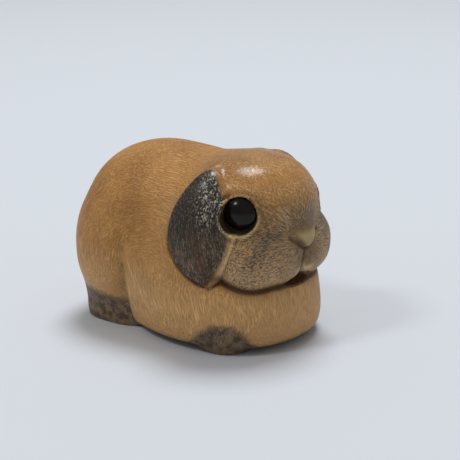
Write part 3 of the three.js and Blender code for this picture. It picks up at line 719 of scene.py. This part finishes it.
def carved_wood():
    """Honey-coloured wood under thin polish, with cut hair lines, handling wear and dark stain, painted shade
    in hollows and creases, and painted light and highlights.
    """
    honey = (0.62, 0.298, 0.078, 1)
    amber = (0.48, 0.212, 0.051, 1)
    straw = (0.62, 0.345, 0.115, 1)
    ridge_straw = (0.78, 0.47, 0.19, 1)
    hollow_brown = (0.075, 0.032, 0.013, 1)
    stain_black = (0.040, 0.027, 0.015, 1)
    stain_grey = (0.175, 0.128, 0.082, 1)
    foot_brown = (0.285, 0.190, 0.115, 1)
    rim_gold = (0.94, 0.64, 0.32, 1)
    cream_wood = (1.0, 0.77, 0.40, 1)
    glint_silver = (0.76, 0.68, 0.55, 1)
    muzzle_grey = (0.092, 0.064, 0.040, 1)
    lid_brown = (0.022, 0.012, 0.007, 1)
    crease_brown = (0.14, 0.062, 0.022, 1)
    painted_light_straw = (0.76, 0.445, 0.18, 1)
    wash_tan = (0.57, 0.385, 0.21, 1)
    wash_brown = (0.120, 0.080, 0.047, 1)

    material = bpy.data.materials.new("carved_wood")
    material.use_nodes = True
    tree = material.node_tree
    shader = tree.nodes["Principled BSDF"]
    place = node(tree, "ShaderNodeTexCoord").outputs["Object"]

    face, chest, ear_part = (attribute(tree, name) for name in ("on_face", "on_chest", "on_ear"))
    line, height = cut_lines(tree, attribute(tree, "lay_back", "Vector"), 6.4)
    for name, mask in (("lay_face", face), ("lay_chest", chest), ("lay_ear", ear_part)):
        part_line, part_height = cut_lines(tree, attribute(tree, name, "Vector"), 6.0)
        line = mix_value(tree, mask, line, part_line)
        height = mix_value(tree, mask, height, part_height)

    stroke_tone = mix_value(tree, face, mix_value(tree, chest, 0.15, 0.46), 0.52)
    clouds = noise(tree, place, scale=170, detail=3.0)
    mottle = noise(tree, place, scale=900)
    speck = noise(tree, place, scale=3200, detail=1.0)
    colour = mix_colour(tree, ramp_node(tree, clouds, 0.36, 0.62), amber, honey)
    colour = mix_colour(tree, ramp_node(tree, mottle, 0.50, 0.72, 0.0, 0.30), colour, straw)
    colour = mix_colour(tree, math_node(tree, "MULTIPLY", line, stroke_tone), colour, hollow_brown)
    # Lighter on the stroke ridges: partly rubbed wear, partly painted highlight.
    ridge_tone = mix_value(tree, face, mix_value(tree, chest, 0.14, 0.34), 0.36)
    ridge = math_node(tree, "MULTIPLY", ramp_node(tree, height, 0.60, 1.0), ridge_tone)
    colour = mix_colour(tree, ridge, colour, ridge_straw)
    apart = node(tree, "ShaderNodeSeparateXYZ")
    tree.links.new(place, apart.inputs[0])
    # Painted light: lighter towards the bottom, from 15 mm high down to 6 mm and below, and a little lighter
    # over the face.
    low_down = ramp_node(tree, apart.outputs["Z"], 0.015, 0.006, 0.0, 0.75)
    colour = mix_colour(tree, low_down, colour, painted_light_straw)
    colour = mix_colour(tree, math_node(tree, "MULTIPLY", face, 0.25), colour, painted_light_straw)
    # Painted shade in the hollows and in sheltered places.
    for name, low, high, most in (("hollow", 0.25, 0.85, 0.75), ("shelter", 0.28, 0.95, 0.45)):
        shade = ramp_node(tree, attribute(tree, name), low, high, 0.0, most)
        colour = mix_colour(tree, shade, colour, hollow_brown)

    uneven = ramp_node(tree, mottle, 0.30, 0.70, 0.95, 0.55)
    wash = math_node(tree, "MULTIPLY", attribute(tree, "stain_wash"), uneven)
    colour = mix_colour(tree, wash, colour, mix_colour(tree, line, wash_tan, wash_brown))
    # The muzzle's grey stain, together with the painted shade along the haunch's groove.
    uneven = ramp_node(tree, mottle, 0.30, 0.66, 1.0, 0.5)
    muzzle = math_node(tree, "MULTIPLY", attribute(tree, "muzzle_stain_and_groove_shade"), uneven)
    muzzle = math_node(tree, "MULTIPLY", muzzle, ramp_node(tree, height, 0.2, 1.0, 1.0, 0.62))
    colour = mix_colour(tree, muzzle, colour, muzzle_grey)

    worn = math_node(tree, "MULTIPLY", ramp_node(tree, height, 0.35, 1.0), ramp_node(tree, speck, 0.35, 0.65))
    stain = mix_colour(tree, worn, stain_black, stain_grey)
    # Painted highlight: silvery glints on the ear's cut strokes.
    polished = math_node(tree, "MULTIPLY", attribute(tree, "ear_glint"), ramp_node(tree, speck, 0.42, 0.62))
    polished = math_node(tree, "MULTIPLY", polished, ramp_node(tree, height, 0.30, 0.75))
    stain = mix_colour(tree, polished, stain, glint_silver)
    thin_stain = mix_colour(tree, ramp_node(tree, mottle, 0.36, 0.64, 0.20, 1.0), stain, foot_brown)
    stain = mix_colour(tree, attribute(tree, "stain_ear"), thin_stain, stain)
    # The dark stain on ears, feet and paws, together with the painted contact shadow along the bottom edges.
    ragged = ramp_node(tree, mottle, 0.3, 0.7, -0.15, 0.15)
    edge = math_node(tree, "ADD", attribute(tree, "dark_stain_and_contact_shade"), ragged)
    colour = mix_colour(tree, ramp_node(tree, edge, 0.12, 0.88), colour, stain)
    # Last, the pale rim; the cream nose pad and teeth with the painted highlight on the lower lids; the
    # painted shade between lids and beads; the painted shadow under the chin and behind the ears.
    for name, paint in (("pale", rim_gold), ("cream", cream_wood), ("lid_hollow", lid_brown),
                        ("crease", crease_brown)):
        colour = mix_colour(tree, attribute(tree, name), colour, paint)
    tree.links.new(colour, shader.inputs["Base Color"])

    gloss = attribute(tree, "gloss")
    rough = mix_value(tree, ramp_node(tree, mottle, 0.3, 0.7), 0.44, 0.56)
    rough = mix_value(tree, gloss, rough, 0.34)
    tree.links.new(rough, shader.inputs["Roughness"])
    tree.links.new(ramp_node(tree, gloss, 0.0, 1.0, 0.06, 0.40), shader.inputs["Coat Weight"])
    shader.inputs["Coat Roughness"].default_value = 0.22
    shader.inputs["Specular IOR Level"].default_value = 0.34

    bump = node(tree, "ShaderNodeBump")
    bump.inputs["Strength"].default_value = 0.9
    bump.inputs["Distance"].default_value = 0.00020
    cut_depth = ramp_node(tree, ear_part, 0.0, 1.0, 1.0, 4.0)
    tree.links.new(math_node(tree, "MULTIPLY", height, cut_depth), bump.inputs["Height"])
    tree.links.new(bump.outputs["Normal"], shader.inputs["Normal"])
    return material


body_mesh.materials.append(carved_wood())
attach(body, "root")
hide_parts("carved_body")

# The eyes
# Two dark beads, polished to a low dome, flat behind and set in round sockets that are cut to take
# them. Each is held by its close fit and a spot of glue under its back.

EYE_THICKNESS = 2.4 * MILLIMETRE
EYE_DOME = 1.1 * MILLIMETRE
EYE_INSET = 0.7 * MILLIMETRE
EYE_EDGE = 0.12 * MILLIMETRE  # rounding where the dome meets the straight edge
EYE_TURNS = 72
EYE_RINGS = 18
EYE_FIRST_RING = 0.03  # where the dome starts above its edge, as a share of a quarter turn


def bead_profile():
    """Radius and height of the bead from the middle of its back to the top of its dome."""
    ball = (EYE_RADIUS ** 2 + EYE_DOME ** 2) / (2 * EYE_DOME)
    back = -EYE_INSET - (EYE_THICKNESS - EYE_DOME)
    points = [(0, back), (EYE_RADIUS - EYE_EDGE, back), (EYE_RADIUS, back + EYE_EDGE)]
    points.append((EYE_RADIUS, -EYE_INSET - EYE_EDGE))
    for ring in range(EYE_RINGS + 1):
        turn = (EYE_FIRST_RING + (1 - EYE_FIRST_RING) * ring / EYE_RINGS) * math.pi / 2
        radius = EYE_RADIUS * math.cos(turn)
        rise = math.sqrt(ball ** 2 - radius ** 2) - (ball - EYE_DOME)
        points.append((0 if ring == EYE_RINGS else radius, rise - EYE_INSET))
    return points


def eye_bead(name, side):
    seat, outward = EYE_SEATS[side]
    place = Vector(to_frame(seat)[0])
    facing = Vector((outward[0], -outward[1], outward[2]))
    turn = Vector((0, 0, 1)).rotation_difference(facing)
    shape = bmesh.new()
    rings = []
    for radius, rise in bead_profile():
        steps = 1 if radius == 0 else EYE_TURNS
        ring = []
        for step in range(steps):
            angle = 2 * math.pi * step / EYE_TURNS
            offset = Vector((radius * math.cos(angle), radius * math.sin(angle), rise)) * LENGTH
            ring.append(shape.verts.new(place + turn @ offset))
        rings.append(ring)
    for low, high in zip(rings, rings[1:]):
        for step in range(EYE_TURNS):
            a, b = low[step % len(low)], low[(step + 1) % len(low)]
            c, d = high[(step + 1) % len(high)], high[step % len(high)]
            corners = [v for n, v in enumerate((a, b, c, d)) if v not in (a, b, c, d)[:n]]
            shape.faces.new(corners)
    bmesh.ops.recalc_face_normals(shape, faces=shape.faces)
    mesh = bpy.data.meshes.new(name)
    shape.to_mesh(mesh)
    shape.free()
    mesh.shade_smooth()
    bead = bpy.data.objects.new(name, mesh)
    bpy.context.scene.collection.objects.link(bead)
    return bead


def polished_bead():
    """Near-black polished bead with a trace of brown deep in it."""
    material = bpy.data.materials.new("dark_bead")
    material.use_nodes = True
    tree = material.node_tree
    shader = tree.nodes["Principled BSDF"]
    place = node(tree, "ShaderNodeTexCoord").outputs["Object"]
    clouds = ramp_node(tree, noise(tree, place, 520, detail=3.0), 0.4, 0.7)
    colour = mix_colour(tree, clouds, (0.0030, 0.0028, 0.0028, 1), (0.008, 0.0055, 0.004, 1))
    tree.links.new(colour, shader.inputs["Base Color"])
    scratches = noise(tree, place, 2600, detail=2.0)
    tree.links.new(ramp_node(tree, scratches, 0.3, 0.7, 0.14, 0.24), shader.inputs["Roughness"])
    shader.inputs["Specular IOR Level"].default_value = 0.22
    shader.inputs["Coat Weight"].default_value = 0.05
    shader.inputs["Coat Roughness"].default_value = 0.08
    return material


DARK_BEAD = polished_bead()
for eye_node, eye_side in (("eye_right", -1), ("eye_left", 1)):
    bead = eye_bead(eye_node + "_bead", eye_side)
    bead.data.materials.append(DARK_BEAD)
    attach(bead, "root")
    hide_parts(eye_node)

# The floor, the light and the camera
# A plain pale surface under soft light from almost overhead, and the camera close in front of the
# rabbit's right shoulder.

FLOOR_SIZE = 3.0
CAMERA_AZIMUTH = math.radians(-50)
CAMERA_ELEVATION = math.radians(20)
CAMERA_DISTANCE = 0.213
CAMERA_LENS = 110
CAMERA_SENSOR = 36
PICTURE_WIDTH = 460
AIM_PIXEL = (202, 318)  # where the middle of the soles lies in the picture

floor_shape = bmesh.new()
bmesh.ops.create_grid(floor_shape, x_segments=1, y_segments=1, size=FLOOR_SIZE / 2)
floor_mesh = bpy.data.meshes.new("floor")
floor_shape.to_mesh(floor_mesh)
floor_shape.free()
floor = bpy.data.objects.new("floor", floor_mesh)
bpy.context.scene.collection.objects.link(floor)
floor_paint = bpy.data.materials.new("floor_paint")
floor_paint.use_nodes = True
floor_shader = floor_paint.node_tree.nodes["Principled BSDF"]
floor_shader.inputs["Base Color"].default_value = (0.69, 0.725, 0.79, 1)
floor_shader.inputs["Roughness"].default_value = 0.6
floor_mesh.materials.append(floor_paint)

world = bpy.data.worlds.new("soft_room")
world.use_nodes = True
world.node_tree.nodes["Background"].inputs["Color"].default_value = (1.0, 0.955, 0.90, 1)
world.node_tree.nodes["Background"].inputs["Strength"].default_value = 0.33
bpy.context.scene.world = world


def soft_lamp(name, towards, distance, size, power, colour):
    lamp = bpy.data.lights.new(name, "AREA")
    lamp.shape = "DISK"
    lamp.size = size
    lamp.energy = power
    lamp.color = colour
    holder = bpy.data.objects.new(name, lamp)
    direction = Vector(towards).normalized()
    holder.location = direction * distance
    holder.rotation_mode = "QUATERNION"
    holder.rotation_quaternion = direction.to_track_quat("Z", "Y")
    bpy.context.scene.collection.objects.link(holder)


soft_lamp("overhead", (0.32, 0.15, 0.935), 0.8, 0.34, 3.9, (0.94, 0.98, 1.0))
soft_lamp("window", (-0.58, 0.25, 0.78), 0.9, 0.19, 1.5, (0.97, 0.99, 1.0))

camera_data = bpy.data.cameras.new("camera")
camera_data.lens = CAMERA_LENS
camera_data.sensor_width = CAMERA_SENSOR
camera_data.clip_start = 0.01
camera_data.clip_end = 10
camera = bpy.data.objects.new("camera", camera_data)
bpy.context.scene.collection.objects.link(camera)
soles_middle = Vector(to_frame((0, 0, 0))[0])
back = Vector((
    math.sin(CAMERA_AZIMUTH) * math.cos(CAMERA_ELEVATION),
    -math.cos(CAMERA_AZIMUTH) * math.cos(CAMERA_ELEVATION),
    math.sin(CAMERA_ELEVATION),
))
pixels = PICTURE_WIDTH * CAMERA_LENS / CAMERA_SENSOR
turn_left = math.atan((AIM_PIXEL[0] - PICTURE_WIDTH / 2) / pixels)
turn_up = math.atan((AIM_PIXEL[1] - PICTURE_WIDTH / 2) / pixels)
looking = Quaternion((0, 0, 1), turn_left) @ -back
looking = Quaternion(looking.cross(Vector((0, 0, 1))), turn_up) @ looking
camera.location = soles_middle + back * CAMERA_DISTANCE
camera.rotation_mode = "QUATERNION"
camera.rotation_quaternion = looking.to_track_quat("-Z", "Y")
bpy.context.scene.camera = camera
bpy.context.scene.view_settings.view_transform = "Standard"
